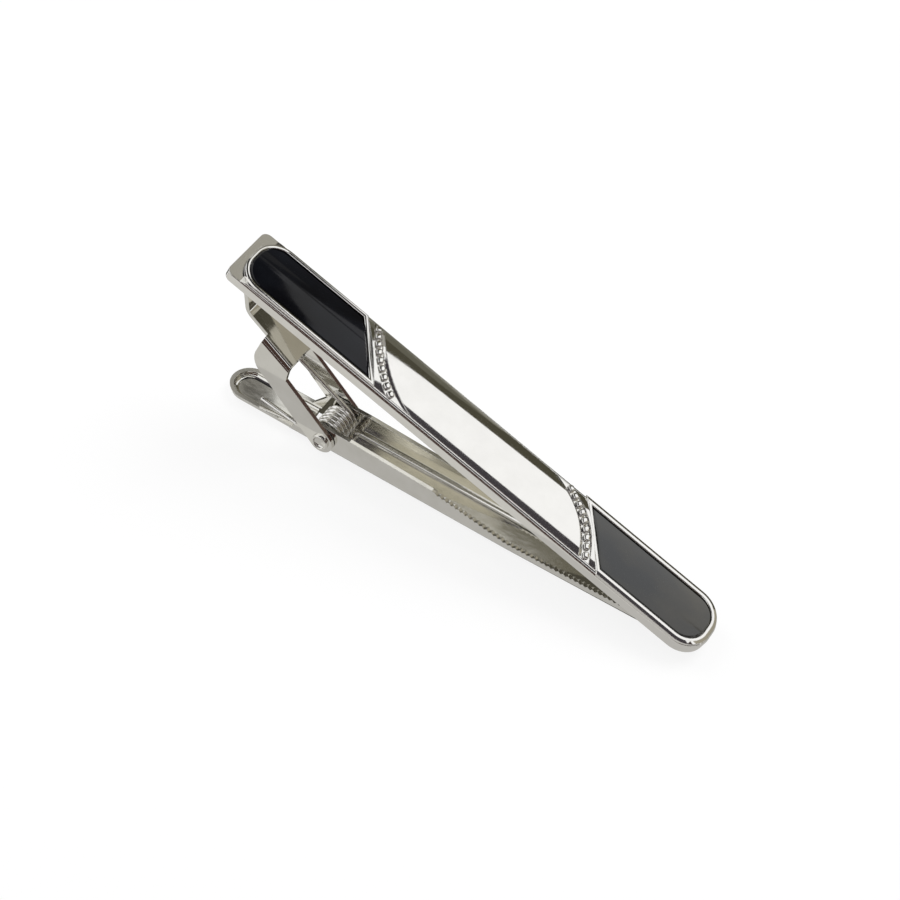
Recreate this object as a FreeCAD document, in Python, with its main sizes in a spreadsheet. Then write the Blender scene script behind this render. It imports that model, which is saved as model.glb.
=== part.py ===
"""Tie clip: a plated front bar with two enamel fields, and a sprung jaw lever hinged behind it.

The clip lies on its lever. X runs along the lever towards the jaw tip, Z is up, and the origin is
the middle of the lever's flat back. The bar and its bracket are drawn square to the bar and then
tilted about the hinge by the closed angle, at which the jaw's teeth meet the back of the bar.
Lengths are millimetres and angles are degrees.
"""

import FreeCAD
import Part
import math
import os
import re

import Sketcher

Vector = FreeCAD.Vector

SIZES = {
    # Front bar
    "bar_length": 60.0,
    "bar_width": 7.0,
    "bar_thickness": 1.35,
    "bar_round_end": 3.0,
    "bar_square_end": 0.8,
    "bar_rim_radius": 0.4,
    "bar_overhang": 17.4,
    "bar_back_height": 11.85,
    "tab_length": 1.7,
    "tab_ramp": 1.1,
    "tab_drop": 0.3,
    # Enamel fields, turned end for end about the pattern's middle
    "pattern_shift": 0.19,
    "inlay_margin": 1.05,
    "inlay_length": 14.17,
    "inlay_slant": 38.7,
    "inlay_half_width": 2.8,
    "inlay_end_radius": 2.3,
    "inlay_depth": 0.5,
    "inlay_sunk": 0.1,
    "inlay_clearance": 0.03,
    "inlay_crown": 0.35,
    "inlay_bevel": 0.2,
    "collar_width": 0.46,
    "collar_rise": 0.2,
    "collar_bevel": 0.06,
    # Crowned middle panel between two curved bead bands
    "band_arc_run": 10.89,
    "band_arc_across": 8.3,
    "band_width": 1.2,
    "band_depth": 0.25,
    "crown_edge": 0.06,
    "crown_rise": 0.57,
    "crown_step": 0.03,
    # Sheet, pin and fits
    "sheet_gauge": 0.45,
    "side_gap": 0.1,
    "pin_radius": 0.6,
    "pin_running_gap": 0.05,
    "pin_seat_gap": 0.02,
    "rivet_radius": 0.95,
    "rivet_height": 0.3,
    "rivet_bevel": 0.12,
    "rivet_dimple_radius": 0.5,
    "rivet_dimple_depth": 0.12,
    # Jaw lever
    "lever_half_width": 2.25,
    "pivot_height": 1.8,
    "thumb_length": 12.6,
    "jaw_length": 41.0,
    "jaw_taper_start": 22.0,
    "jaw_tip_half_width": 1.9,
    "jaw_tip_radius": 1.5,
    "lever_floor_radius": 1.0,
    "rim_edge": 0.75,
    "rim_length": 8.8,
    "ear_top": 1.6,
    "ear_back": 1.9,
    "ear_front": 3.0,
    "wall_mid_run": 13.0,
    "wall_mid_top": 1.2,
    "tooth_edge": 0.3,
    "slope_teeth": 15,
    "slope_tooth_end": 0.4,
    "jaw_teeth": 32,
    "tooth_pitch": 0.56,
    "tooth_depth": 0.24,
    "window_back": 2.9,
    "window_front": 1.25,
    "jaw_gap": 0.15,
    # Hinge bracket
    "strip_half_width": 1.95,
    "foot_length": 8.0,
    "strip_bend_back": 14.0,
    "strip_bend_radius": 1.2,
    "ramp_angle": 62.0,
    "ramp_length": 2.67,
    "plate_bend_radius": 1.8,
    "plate_angle": 17.0,
    "plate_length": 7.17,
    "cheek_start": 3.1,
    "cheek_bend_radius": 0.8,
    "cheek_back": 10.7,
    "cheek_back_height": 4.7,
    "elbow_radius": 2.6,
    "elbow_reach": 8.5,
    "elbow_height": 2.4,
    "neck_reach": 6.47,
    "neck_height": 4.18,
    "eye_radius": 1.38,
    # Torsion spring
    "wire_diameter": 0.5,
    "coil_radius": 1.48,
    "coil_pitch": 1.17,
    "coil_turns": 2,
    "coil_side_gap": 0.08,
    "thumb_arm_angle": 10.0,
    "thumb_arm_length": 8.0,
    "plate_arm_offset": 0.2,
    "plate_arm_length": 2.0,
    "plate_arm_gap": 0.12,
    "plate_arm_bend": 1.2,
}

# Places worked out from the sizes above, as formulas
BAR_TOP = "(bar_thickness + collar_rise)"
CLOSED_ANGLE = (
    "(asin((bar_back_height - jaw_gap) / sqrt(jaw_length^2 + tooth_edge^2))"
    " + atan(tooth_edge / jaw_length))"
)
PIVOT_X = "((thumb_length - jaw_length) / 2)"
PATTERN_MIDDLE = "(bar_length / 2 + pattern_shift)"
BAR_MIDDLE = f"({PATTERN_MIDDLE} - bar_overhang)"
INLAY_END = "(bar_length / 2 - inlay_margin)"
INLAY_SLANT_MIDDLE = f"({INLAY_END} - inlay_length)"
SHOULDER_SLANT = f"({INLAY_SLANT_MIDDLE} - collar_width / cos(inlay_slant))"
BAND_ARC_ALONG = f"({INLAY_SLANT_MIDDLE} - band_arc_run)"
PANEL_RADIUS = "(band_arc_across + bar_width / 2)"
WINDOW_HALF_WIDTH = "((coil_turns + 0.5) * coil_pitch / 2 + wire_diameter / 2 + coil_side_gap)"
LEG_INNER = "(lever_half_width + side_gap)"
LEG_OUTER = "(lever_half_width + side_gap + sheet_gauge)"

doc = FreeCAD.newDocument("tie_clip")
sheet = doc.addObject("Spreadsheet::Sheet", "sizes")
for row, (alias, size) in enumerate(SIZES.items(), start=1):
    sheet.set(f"A{row}", alias)
    sheet.set(f"B{row}", str(size))
    sheet.setAlias(f"B{row}", alias)
doc.recompute()


def bound(formula):
    """The formula with each of the sheet's names spelled out for an expression."""
    return re.sub(r"[a-z]+(?:_[a-z]+)+", r"sizes.\g<0>", formula)


def value(formula):
    """The number that a formula has with the present sizes."""
    return float(sheet.evalExpression(formula))


def new_body(name):
    body = doc.addObject("PartDesign::Body", name)
    body.Label = name
    return body


def origin_part(body, role):
    return next(part for part in body.Origin.OriginFeatures if part.Role == role)


def new_sketch(body, name, plane, offset="0"):
    """A sketch on one of the body's own origin planes, moved along its normal."""
    sketch = body.newObject("Sketcher::SketchObject", name)
    sketch.AttachmentSupport = [(origin_part(body, plane), "")]
    sketch.MapMode = "FlatFace"
    sketch.setExpression("AttachmentOffset.Base.z", bound(offset))
    return sketch


def pin_down(sketch, kind, geometry, point, formula):
    """Hold one coordinate of a point at a formula's value."""
    number = Sketcher.Constraint(kind, -1, 1, geometry, point, value(formula))
    index = sketch.addConstraint(number)
    sketch.setExpression(f"Constraints[{index}]", bound(formula))


def hold_radius(sketch, geometry, formula):
    index = sketch.addConstraint(Sketcher.Constraint("Radius", geometry, value(formula)))
    sketch.setExpression(f"Constraints[{index}]", bound(formula))


def arc_between(start, end, radius, leftward):
    """The shorter arc of a radius from start to end, turning left or right."""
    chord = end - start
    lift = math.sqrt(max(radius ** 2 - chord.Length ** 2 / 4, 0))
    across = Vector(-chord.y, chord.x, 0).normalize() * (lift if leftward else -lift)
    centre = (start + end) / 2 + across
    first, last = (start, end) if leftward else (end, start)
    angles = [math.atan2(p.y - centre.y, p.x - centre.x) for p in (first, last)]
    return Part.ArcOfCircle(Part.Circle(centre, Vector(0, 0, 1), radius), *angles)


def draw_outline(sketch, corners):
    """Close an outline through corners of (x, y) or (x, y, "left" or "right", radius to the next)."""
    points = [Vector(value(corner[0]), value(corner[1]), 0) for corner in corners]
    first_geometry = sketch.GeometryCount
    ends = []
    for index, corner in enumerate(corners):
        start = points[index]
        end = points[(index + 1) % len(points)]
        if len(corner) == 2:
            geometry = sketch.addGeometry(Part.LineSegment(start, end))
            ends.append((geometry, 1, 2))
            continue
        leftward = corner[2] == "left"
        geometry = sketch.addGeometry(arc_between(start, end, value(corner[3]), leftward))
        ends.append((geometry, 1, 2) if leftward else (geometry, 2, 1))
    for index, (geometry, start_point, end_point) in enumerate(ends):
        following = ends[(index + 1) % len(ends)]
        meeting = Sketcher.Constraint("Coincident", geometry, end_point, following[0], following[1])
        sketch.addConstraint(meeting)
        pin_down(sketch, "DistanceX", geometry, start_point, corners[index][0])
        pin_down(sketch, "DistanceY", geometry, start_point, corners[index][1])
        if len(corners[index]) == 4:
            hold_radius(sketch, first_geometry + index, corners[index][3])


def draw_circle(sketch, radius):
    circle = Part.Circle(Vector(0, 0, 0), Vector(0, 0, 1), value(radius))
    geometry = sketch.addGeometry(circle)
    sketch.addConstraint(Sketcher.Constraint("Coincident", geometry, 3, -1, 1))
    hold_radius(sketch, geometry, radius)


def pad(body, sketch, length, both_sides=False):
    feature = body.newObject("PartDesign::Pad", sketch.Name + "_pad")
    feature.Profile = sketch
    feature.SideType = "Symmetric" if both_sides else "One side"
    feature.setExpression("Length", bound(length))
    doc.recompute()
    return feature


def pocket(body, sketch, length=None, both_sides=False, upward=False):
    """Cut a sketch's outline away, through everything or to a depth, and check that it cut."""
    before = body.Shape.Volume
    feature = body.newObject("PartDesign::Pocket", sketch.Name + "_pocket")
    feature.Profile = sketch
    feature.SideType = "Symmetric" if both_sides else "One side"
    feature.Reversed = upward
    if length is None:
        feature.Type = "ThroughAll"
    else:
        feature.setExpression("Length", bound(length))
    doc.recompute()
    if not body.Shape.Volume < before:
        raise RuntimeError(f"{feature.Name} cuts nothing")
    return feature


def edges_where(body, test):
    """Names of the body's edges whose every sample point passes a test."""
    names = []
    for index, edge in enumerate(body.Shape.Edges, start=1):
        points = [edge.Vertexes[0].Point, edge.Vertexes[-1].Point, edge.CenterOfMass]
        if all(test(point) for point in points):
            names.append(f"Edge{index}")
    return names


def fillet(body, name, edges, radius):
    base = body.Tip
    feature = body.newObject("PartDesign::Fillet", name)
    feature.Base = (base, edges)
    feature.setExpression("Radius", bound(radius))
    doc.recompute()
    return feature


def chamfer(body, name, edges, size):
    base = body.Tip
    feature = body.newObject("PartDesign::Chamfer", name)
    feature.Base = (base, edges)
    feature.setExpression("Size", bound(size))
    doc.recompute()
    return feature


def place(obj, x, z, tilt=None):
    """Put a piece at its place beside the lever's middle, tilted about Y where it goes with the bar."""
    obj.Placement.Rotation = FreeCAD.Rotation(Vector(0, 1, 0), 1)
    obj.setExpression("Placement.Rotation.Angle", bound(tilt or "0"))
    obj.setExpression("Placement.Base.x", bound(x))
    obj.setExpression("Placement.Base.z", bound(z))


def place_on_bar(obj):
    """Seat a piece drawn from the middle of the bar's back."""
    along = f"{PIVOT_X} + {BAR_MIDDLE} * cos({CLOSED_ANGLE}) + bar_back_height * sin({CLOSED_ANGLE})"
    up = f"pivot_height - {BAR_MIDDLE} * sin({CLOSED_ANGLE}) + bar_back_height * cos({CLOSED_ANGLE})"
    place(obj, along, up, CLOSED_ANGLE)


def place_on_hinge(obj, tilt=None):
    """Seat a piece drawn from the hinge's axis."""
    place(obj, PIVOT_X, "pivot_height", tilt)


def inlay_outline(end, grow):
    """Corners of an enamel field: a rounded end and a slanted edge. end is 1 at left, -1 at right."""
    half = f"(inlay_half_width + {grow})"
    far = f"({INLAY_END} + {grow})"
    radius = f"(inlay_end_radius + {grow})"
    slant = f"({INLAY_SLANT_MIDDLE} - ({grow}) / cos(inlay_slant))"
    shift = f"({half} * tan(inlay_slant))"
    corners = [
        (f"-({far} - {radius})", f"-{half}"),
        (f"-({slant} - {shift})", f"-{half}"),
        (f"-({slant} + {shift})", half),
        (f"-({far} - {radius})", half, "left", radius),
        (f"-{far}", f"{half} - {radius}"),
        (f"-{far}", f"-({half} - {radius})", "left", radius),
    ]
    return [(f"{end} * ({c[0]})", f"{end} * ({c[1]})", *c[2:]) for c in corners]


def band_side(end, radius, across):
    """Where a band's arc of a radius crosses a line along the bar."""
    reach = f"sqrt({radius}^2 - (band_arc_across - ({across}))^2)"
    return f"{end} * (-{BAND_ARC_ALONG} - {reach})", f"{end} * ({across})"


def slant_side(end, across):
    """Where the line along a collar's slanted edge crosses a line along the bar."""
    return f"{end} * (-{SHOULDER_SLANT} - ({across}) * tan(inlay_slant))", f"{end} * ({across})"


def cut_crown(body, name, half, foot, rise):
    """Round a piece's top across the bar: an arc from foot to foot, with a rise in the middle."""
    crown = new_sketch(body, name, "YZ_Plane")
    draw_outline(crown, [
        (f"-{half}", foot),
        (f"-{half}", f"{foot} + 4 * ({rise})"),
        (half, f"{foot} + 4 * ({rise})"),
        (half, foot, "left", f"({half}^2 + ({rise})^2) / (2 * ({rise}))"),
    ])
    return pocket(body, crown, both_sides=True)


def make_front_bar():
    body = new_body("front_bar")
    left = f"-{PATTERN_MIDDLE}"
    right = f"(bar_length - {PATTERN_MIDDLE})"
    side = "bar_width / 2"
    panel_side = "(bar_width / 2 - bar_rim_radius)"
    blank = new_sketch(body, "bar_blank", "XY_Plane")
    draw_outline(blank, [
        (f"{left} + bar_square_end", f"-{side}"),
        (f"{right} - bar_round_end", f"-{side}", "left", "bar_round_end"),
        (right, f"-{side} + bar_round_end"),
        (right, f"{side} - bar_round_end", "left", "bar_round_end"),
        (f"{right} - bar_round_end", side),
        (f"{left} + bar_square_end", side, "left", "bar_square_end"),
        (left, f"{side} - bar_square_end"),
        (left, f"-{side} + bar_square_end", "left", "bar_square_end"),
    ])
    pad(body, blank, "bar_thickness")
    rims = edges_where(body, lambda p: abs(p.z - value("bar_thickness")) < 1e-6)
    fillet(body, "bar_rims", rims, "bar_rim_radius")

    tab = new_sketch(body, "end_tab", "XZ_Plane")
    draw_outline(tab, [
        (f"{left} - tab_length", "bar_thickness - tab_drop"),
        (f"{left} + tab_length", "bar_thickness - tab_drop"),
        (f"{left} + tab_length + tab_ramp", "bar_thickness"),
        (f"{left} + tab_length + tab_ramp", "2 * bar_thickness"),
        (f"{left} - tab_length", "2 * bar_thickness"),
    ])
    pocket(body, tab, both_sides=True)

    floor = new_sketch(body, "band_floor", "XY_Plane")
    draw_outline(floor, [
        slant_side(1, f"-{panel_side}"),
        slant_side(-1, panel_side),
        slant_side(-1, f"-{panel_side}"),
        slant_side(1, panel_side),
    ])
    pad(body, floor, "bar_thickness + crown_edge + crown_rise")
    floor_foot = "bar_thickness + crown_edge - crown_step"
    cut_crown(body, "floor_crown", panel_side, floor_foot, "crown_rise - band_depth")

    panel = new_sketch(body, "middle_panel", "XY_Plane")
    draw_outline(panel, [
        (*band_side(1, PANEL_RADIUS, panel_side), "left", PANEL_RADIUS),
        band_side(1, PANEL_RADIUS, f"-{panel_side}"),
        (*band_side(-1, PANEL_RADIUS, panel_side), "left", PANEL_RADIUS),
        band_side(-1, PANEL_RADIUS, f"-{panel_side}"),
    ])
    pad(body, panel, "bar_thickness + crown_edge + 2 * crown_rise")
    outer = f"({PANEL_RADIUS} + band_width)"
    for end, name in ((1, "left"), (-1, "right")):
        shoulder = new_sketch(body, f"{name}_shoulder", "XY_Plane")
        draw_outline(shoulder, [
            slant_side(end, f"-{panel_side}"),
            (*band_side(end, outer, f"-{panel_side}"), "right", outer),
            band_side(end, outer, panel_side),
            slant_side(end, panel_side),
        ])
        pad(body, shoulder, "bar_thickness + crown_edge + 2 * crown_rise")
    cut_crown(body, "panel_crown", panel_side, "bar_thickness + crown_edge", "crown_rise")

    for end, name in ((1, "left"), (-1, "right")):
        collar = new_sketch(body, f"{name}_collar", "XY_Plane")
        draw_outline(collar, inlay_outline(end, "collar_width"))
        pad(body, collar, BAR_TOP)
        recess = new_sketch(body, f"{name}_recess", "XY_Plane", BAR_TOP)
        draw_outline(recess, inlay_outline(end, "0"))
        pocket(body, recess, "inlay_depth")

    def by_shoulder(point):
        """Whether a point is on the line where a collar meets the crowned middle."""
        along = abs(point.x + point.y * math.tan(math.radians(value("inlay_slant"))))
        return abs(along - value(SHOULDER_SLANT)) < 1e-4

    collar_tops = edges_where(body, lambda p: abs(p.z - value(BAR_TOP)) < 1e-6)
    shoulder_lines = edges_where(body, by_shoulder)
    free_tops = [name for name in collar_tops if name not in shoulder_lines]
    chamfer(body, "collar_rims", free_tops, "collar_bevel")
    place_on_bar(body)
    return body


def make_inlay(name, end):
    body = new_body(name)
    field = new_sketch(body, f"{name}_field", "XY_Plane", f"{BAR_TOP} - inlay_depth")
    draw_outline(field, inlay_outline(end, "(-inlay_clearance)"))
    pad(body, field, "inlay_depth - inlay_sunk + inlay_crown")

    half = "(inlay_half_width - inlay_clearance)"
    foot = f"({BAR_TOP} - inlay_sunk)"
    cut_crown(body, f"{name}_dome", half, foot, "inlay_crown")
    rims = edges_where(body, lambda p: p.z > value(foot) - 1e-6)
    chamfer(body, f"{name}_rim", rims, "inlay_bevel")
    place_on_bar(body)
    return body


def make_hinge_bracket():
    body = new_body("hinge_bracket")
    bend_z = "(bar_back_height - strip_bend_radius)"
    ramp_x = "(-strip_bend_back - strip_bend_radius * sin(ramp_angle))"
    ramp_z = f"({bend_z} - strip_bend_radius * cos(ramp_angle))"
    corner_x = f"({ramp_x} + ramp_length * cos(ramp_angle))"
    corner_z = f"({ramp_z} - ramp_length * sin(ramp_angle))"
    tangent = "(plate_bend_radius * tan((ramp_angle - plate_angle) / 2))"

    def on_plate(run, lift="0"):
        x = f"{corner_x} + ({run}) * cos(plate_angle) + ({lift}) * sin(plate_angle)"
        z = f"{corner_z} - ({run}) * sin(plate_angle) + ({lift}) * cos(plate_angle)"
        return x, z

    def on_ramp(back, lift="0"):
        x = f"{corner_x} - ({back}) * cos(ramp_angle) + ({lift}) * sin(ramp_angle)"
        z = f"{corner_z} + ({back}) * sin(ramp_angle) + ({lift}) * cos(ramp_angle)"
        return x, z

    neck_angle = (
        "(atan(neck_height / neck_reach)"
        " - asin(eye_radius / sqrt(neck_reach^2 + neck_height^2)))"
    )
    elbow_angle = (
        "(atan(elbow_height / elbow_reach)"
        " + asin(eye_radius / sqrt(elbow_reach^2 + elbow_height^2)))"
    )
    cheeks = new_sketch(body, "cheek_sides", "XZ_Plane")
    draw_outline(cheeks, [
        on_plate("plate_length", "sheet_gauge"),
        on_plate("cheek_start", "sheet_gauge"),
        ("-cheek_back", "cheek_back_height", "left", "elbow_radius"),
        ("-elbow_reach", "elbow_height"),
        (f"-eye_radius * sin({elbow_angle})", f"-eye_radius * cos({elbow_angle})", "left", "eye_radius"),
        ("eye_radius", "0", "left", "eye_radius"),
        (f"eye_radius * sin({neck_angle})", f"eye_radius * cos({neck_angle})"),
        ("-neck_reach", "neck_height"),
    ])
    pad(body, cheeks, f"2 * {LEG_OUTER}", both_sides=True)

    between = new_sketch(body, "between_cheeks", "XZ_Plane")
    draw_outline(between, [
        on_plate("plate_length + cheek_start"),
        on_plate("0"),
        ("-strip_bend_back", "-2 * eye_radius"),
        ("2 * eye_radius", "-2 * eye_radius"),
        ("2 * eye_radius", "2 * eye_radius"),
    ])
    pocket(body, between, f"2 * {LEG_INNER}", both_sides=True)

    def above(point, lift):
        plate_x = value(corner_x)
        plate_z = value(corner_z)
        fall = (point.x - plate_x) * math.tan(math.radians(value("plate_angle")))
        height = (point.z - plate_z + fall) * math.cos(math.radians(value("plate_angle")))
        return abs(height - value(lift)) < 1e-4

    def bend_edges(lift, half_width):
        """Edges that run along the plate at a lift and at a distance from the middle line."""
        side = value(half_width)
        return edges_where(body, lambda p: above(p, lift) and abs(abs(p.y) - side) < 1e-4)

    inner_radius = "cheek_bend_radius - sheet_gauge"
    fillet(body, "cheek_bends", bend_edges("sheet_gauge", LEG_OUTER), "cheek_bend_radius")
    fillet(body, "cheek_inner_bends", bend_edges("0", LEG_INNER), inner_radius)

    strip = new_sketch(body, "strip_profile", "XZ_Plane")
    draw_outline(strip, [
        ("foot_length - strip_bend_back", "bar_back_height"),
        ("-strip_bend_back", "bar_back_height", "left", "strip_bend_radius"),
        ("-strip_bend_back - strip_bend_radius", bend_z, "left", "strip_bend_radius"),
        (ramp_x, ramp_z),
        (*on_ramp(tangent), "left", "plate_bend_radius"),
        on_plate(tangent),
        on_plate("cheek_start + sheet_gauge"),
        on_plate("cheek_start + sheet_gauge", "sheet_gauge"),
        (*on_plate(tangent, "sheet_gauge"), "right", "plate_bend_radius - sheet_gauge"),
        on_ramp(tangent, "sheet_gauge"),
        (*on_ramp("ramp_length", "sheet_gauge"), "right", "strip_bend_radius - sheet_gauge"),
        ("-strip_bend_back - strip_bend_radius + sheet_gauge", bend_z,
         "right", "strip_bend_radius - sheet_gauge"),
        ("-strip_bend_back", "bar_back_height - sheet_gauge"),
        ("foot_length - strip_bend_back", "bar_back_height - sheet_gauge"),
    ])
    pad(body, strip, "2 * strip_half_width", both_sides=True)

    eyes = new_sketch(body, "leg_eyes", "XZ_Plane")
    draw_circle(eyes, "pin_radius + pin_seat_gap")
    pocket(body, eyes, both_sides=True)
    place_on_hinge(body, CLOSED_ANGLE)
    return body


def slope_notches():
    """Corners of the teeth cut down the sloping part of the lever's walls."""
    run = "(jaw_taper_start - wall_mid_run)"
    fall = "((wall_mid_top + tooth_edge) / (jaw_taper_start - wall_mid_run))"
    corners = []
    for index in range(SIZES["slope_teeth"]):
        for half, depth in ((0, "0"), (1, "tooth_depth")):
            x = f"(slope_tooth_end + {index + half / 2} * ({run} - slope_tooth_end) / slope_teeth)"
            corners.append((f"wall_mid_run + {x}", f"wall_mid_top - {x} * {fall} - {depth}"))
    return corners


def jaw_notches():
    """Corners of the teeth cut along the jaw's level edges."""
    corners = []
    for index in range(SIZES["jaw_teeth"]):
        valley = f"jaw_taper_start + {index + 0.5} * tooth_pitch"
        peak = f"jaw_taper_start + {index + 1} * tooth_pitch"
        corners.append((valley, "-tooth_edge - tooth_depth"))
        corners.append((peak, "-tooth_edge"))
    return corners


def make_jaw_lever():
    body = new_body("jaw_lever")
    plan = new_sketch(body, "lever_plan", "XY_Plane", "-pivot_height")
    draw_outline(plan, [
        ("lever_half_width - thumb_length", "-lever_half_width"),
        ("jaw_taper_start", "-lever_half_width"),
        ("jaw_length - jaw_tip_radius", "-jaw_tip_half_width", "left", "jaw_tip_radius"),
        ("jaw_length", "jaw_tip_radius - jaw_tip_half_width"),
        ("jaw_length", "jaw_tip_half_width - jaw_tip_radius", "left", "jaw_tip_radius"),
        ("jaw_length - jaw_tip_radius", "jaw_tip_half_width"),
        ("jaw_taper_start", "lever_half_width"),
        ("lever_half_width - thumb_length", "lever_half_width", "left", "lever_half_width"),
        ("-thumb_length", "0", "left", "lever_half_width"),
    ])
    pad(body, plan, "pivot_height + ear_top")
    floor_edges = edges_where(body, lambda p: abs(p.z + value("pivot_height")) < 1e-4)
    fillet(body, "floor_bends", floor_edges, "lever_floor_radius")

    base = body.Tip
    top = max(range(len(body.Shape.Faces)), key=lambda index: body.Shape.Faces[index].CenterOfMass.z)
    tray = body.newObject("PartDesign::Thickness", "pressed_tray")
    tray.Base = (base, [f"Face{top + 1}"])
    tray.setExpression("Value", bound("sheet_gauge"))
    tray.Reversed = True
    doc.recompute()

    walls = new_sketch(body, "wall_tops", "XZ_Plane")
    draw_outline(walls, [
        ("-2 * thumb_length", "-rim_edge"),
        ("rim_length - thumb_length", "-rim_edge"),
        ("-ear_back", "ear_top"),
        ("ear_front", "ear_top"),
        ("wall_mid_run", "wall_mid_top"),
        *slope_notches(),
        ("jaw_taper_start", "-tooth_edge"),
        *jaw_notches(),
        ("2 * jaw_length", "-tooth_edge"),
        ("2 * jaw_length", "2 * ear_top"),
        ("-2 * thumb_length", "2 * ear_top"),
    ])
    pocket(body, walls, both_sides=True)

    window = new_sketch(body, "coil_window", "XY_Plane", "-pivot_height - sheet_gauge")
    draw_outline(window, [
        ("-window_back", f"-{WINDOW_HALF_WIDTH}"),
        ("window_front", f"-{WINDOW_HALF_WIDTH}"),
        ("window_front", WINDOW_HALF_WIDTH),
        ("-window_back", WINDOW_HALF_WIDTH),
    ])
    pocket(body, window, "2 * sheet_gauge + lever_floor_radius", upward=True)

    ears = new_sketch(body, "ear_holes", "XZ_Plane")
    draw_circle(ears, "pin_radius + pin_running_gap")
    pocket(body, ears, both_sides=True)

    place_on_hinge(body)
    return body


def make_hinge_pin():
    body = new_body("hinge_pin")
    end = f"({LEG_OUTER} + rivet_height)"
    profile = new_sketch(body, "rivet_profile", "XY_Plane")
    lower = [
        ("0", f"rivet_dimple_depth - {end}"),
        ("rivet_dimple_radius", f"-{end}"),
        ("rivet_radius - rivet_bevel", f"-{end}"),
        ("rivet_radius", f"rivet_bevel - {end}"),
        ("rivet_radius", f"-{LEG_OUTER}"),
        ("pin_radius", f"-{LEG_OUTER}"),
    ]
    upper = [(x, f"-({y})") for x, y in reversed(lower)]
    draw_outline(profile, lower + upper)
    turned = body.newObject("PartDesign::Revolution", "rivet")
    turned.Profile = profile
    turned.ReferenceAxis = (profile, ["V_Axis"])
    turned.Angle = 360
    doc.recompute()
    place_on_hinge(body)
    return body


def biarc(start, start_way, end, end_way):
    """Two tangent arcs from start to end with the given directions there."""
    chord = end - start
    ways = start_way + end_way
    spread = 2 * (1 - start_way.dot(end_way))
    reach = chord.dot(ways)
    length = (math.sqrt(reach ** 2 + spread * chord.dot(chord)) - reach) / spread
    joint = (start + start_way * length + end - end_way * length) / 2
    return [tangent_arc(start, start_way, joint), tangent_arc(end, end_way * -1, joint)]


def tangent_arc(start, way, end):
    """The arc from start, leaving along way, to end."""
    chord = end - start
    half_turn = way.getAngle(chord)
    outward = (way * chord.Length - chord * math.cos(half_turn)).normalize()
    sagitta = chord.Length / 2 * math.tan(half_turn / 2)
    return Part.Arc(start, (start + end) / 2 + outward * sagitta, end).toShape()


def make_torsion_spring():
    """A coil round the pin, with one arm along the thumb pad and one up to the bracket's plate."""
    radius = value("coil_radius")
    pitch = value("coil_pitch")
    wire = value("wire_diameter")
    thumb_tilt = math.radians(value("thumb_arm_angle"))
    tilt = math.radians(value(CLOSED_ANGLE))
    plate_slope = math.radians(value("plate_angle")) + tilt

    ramp = math.radians(value("ramp_angle"))
    slope = math.radians(value("plate_angle"))
    bend = value("strip_bend_radius")
    corner_x = -value("strip_bend_back") - bend * math.sin(ramp) + value("ramp_length") * math.cos(ramp)
    ramp_fall = value("ramp_length") * math.sin(ramp)
    corner_z = value("bar_back_height") - bend * (1 + math.cos(ramp)) - ramp_fall
    clear = wire / 2 + value("plate_arm_gap")
    plate_x = corner_x + value("plate_length") * math.cos(slope) - clear * math.sin(slope)
    plate_z = corner_z - value("plate_length") * math.sin(slope) - clear * math.cos(slope)
    under_plate = Vector(
        plate_x * math.cos(tilt) + plate_z * math.sin(tilt),
        -value("plate_arm_offset"),
        plate_z * math.cos(tilt) - plate_x * math.sin(tilt),
    )
    along_plate = Vector(-math.cos(plate_slope), 0, math.sin(plate_slope))

    first = -math.pi / 2 - thumb_tilt
    reach = math.hypot(under_plate.x, under_plate.z)
    turns = 2 * math.pi * value("coil_turns")
    last = math.atan2(under_plate.z, under_plate.x) - math.acos(radius / reach) + turns
    middle = (first + last) / 2

    def on_coil(angle):
        across = pitch * (angle - middle) / (2 * math.pi)
        return Vector(radius * math.cos(angle), across, radius * math.sin(angle))

    def coil_way(angle):
        rise = pitch / (2 * math.pi * radius)
        return Vector(-math.sin(angle), rise, math.cos(angle)).normalize()

    thumb_way = Vector(math.cos(thumb_tilt), 0, -math.sin(thumb_tilt))
    thumb_end = on_coil(first) - thumb_way * value("thumb_arm_length")
    plate_way = (under_plate - on_coil(last)).normalize()

    edges = [Part.LineSegment(thumb_end, on_coil(first)).toShape()]
    halves = math.ceil((last - first) / math.pi)
    angles = [first + (last - first) * step / halves for step in range(halves + 1)]
    ways = [thumb_way] + [coil_way(angle) for angle in angles[1:-1]] + [plate_way]
    for step in range(halves):
        edges += biarc(on_coil(angles[step]), ways[step], on_coil(angles[step + 1]), ways[step + 1])
    bend_start = under_plate - plate_way * value("plate_arm_bend")
    bend_end = under_plate + along_plate * value("plate_arm_bend")
    plate_end = bend_end + along_plate * value("plate_arm_length")
    edges.append(Part.LineSegment(on_coil(last), bend_start).toShape())
    edges.append(tangent_arc(bend_start, plate_way, bend_end))
    edges.append(Part.LineSegment(bend_end, plate_end).toShape())
    path = Part.Wire(Part.__sortEdges__(edges))

    section = Part.Wire(Part.Circle(thumb_end, thumb_way, wire / 2).toShape())
    solid = path.makePipeShell([section], True, False)
    print("spring: wire length", round(path.Length, 2), "least gap", round(least_gap(path, wire), 3))
    spring = doc.addObject("Part::Feature", "torsion_spring")
    spring.Label = "torsion_spring"
    spring.Shape = solid
    place_on_hinge(spring)
    return spring


def least_gap(path, wire):
    """The least room between stretches of a wire that lie over three diameters apart along it."""
    count = int(path.Length / (wire / 4))
    points = path.discretize(Number=count)
    apart = int(3 * wire / (path.Length / count))
    gaps = [
        (points[one] - points[two]).Length
        for one in range(count)
        for two in range(one + apart, count)
    ]
    return min(gaps) - wire


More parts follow.
